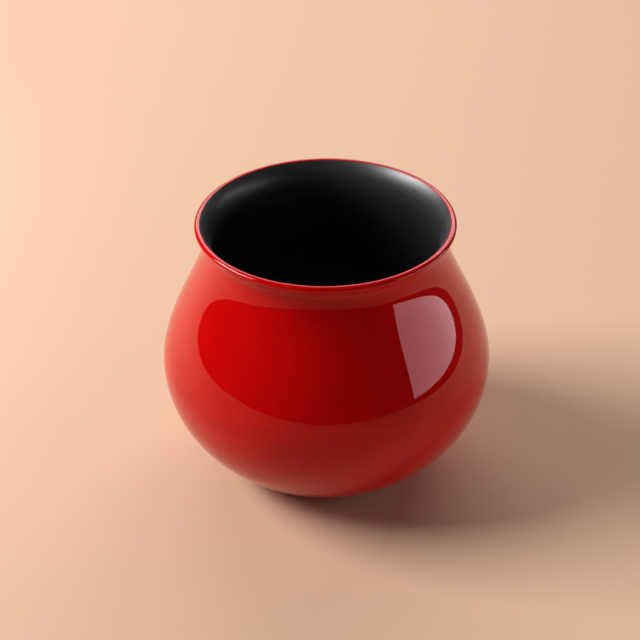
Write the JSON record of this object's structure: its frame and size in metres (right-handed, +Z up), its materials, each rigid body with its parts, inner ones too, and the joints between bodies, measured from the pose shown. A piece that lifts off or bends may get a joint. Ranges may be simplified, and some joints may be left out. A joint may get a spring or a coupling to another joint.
{
  "type": "lacquered cup",
  "caption": "Handleless pot-bellied cup with a narrowed neck and thin flared lip, glossy red lacquer outside and satin black inside, standing on a low foot ring.",
  "frame": {"origin": "on the table at the centre of the foot ring", "axes": "+Z up along the cup's axis of turning, +X to the right and +Y away from the viewer of the picture"},
  "size_m": [0.09, 0.09, 0.075],
  "materials": {
    "wood": "turned hardwood, bare under its coats",
    "hemp_cloth": "plain-woven hemp, soaked with lacquer",
    "ground": "filled lacquer ground, sanded matt",
    "red_lacquer": "deep red lacquer, high gloss",
    "black_lacquer": "black lacquer, satin",
    "foot_lacquer": "black lacquer, satin, a little worn where it stands"
  },
  "bodies": {
    "root": {"wood_core": "wood", "rim_cloth_band": "hemp_cloth", "foot_cloth_band": "hemp_cloth", "outer_ground_coat": "ground", "inner_ground_coat": "ground", "red_outer_coat": "red_lacquer", "black_inner_coat": "black_lacquer", "black_foot_coat": "foot_lacquer"}
  },
  "joints": []
}
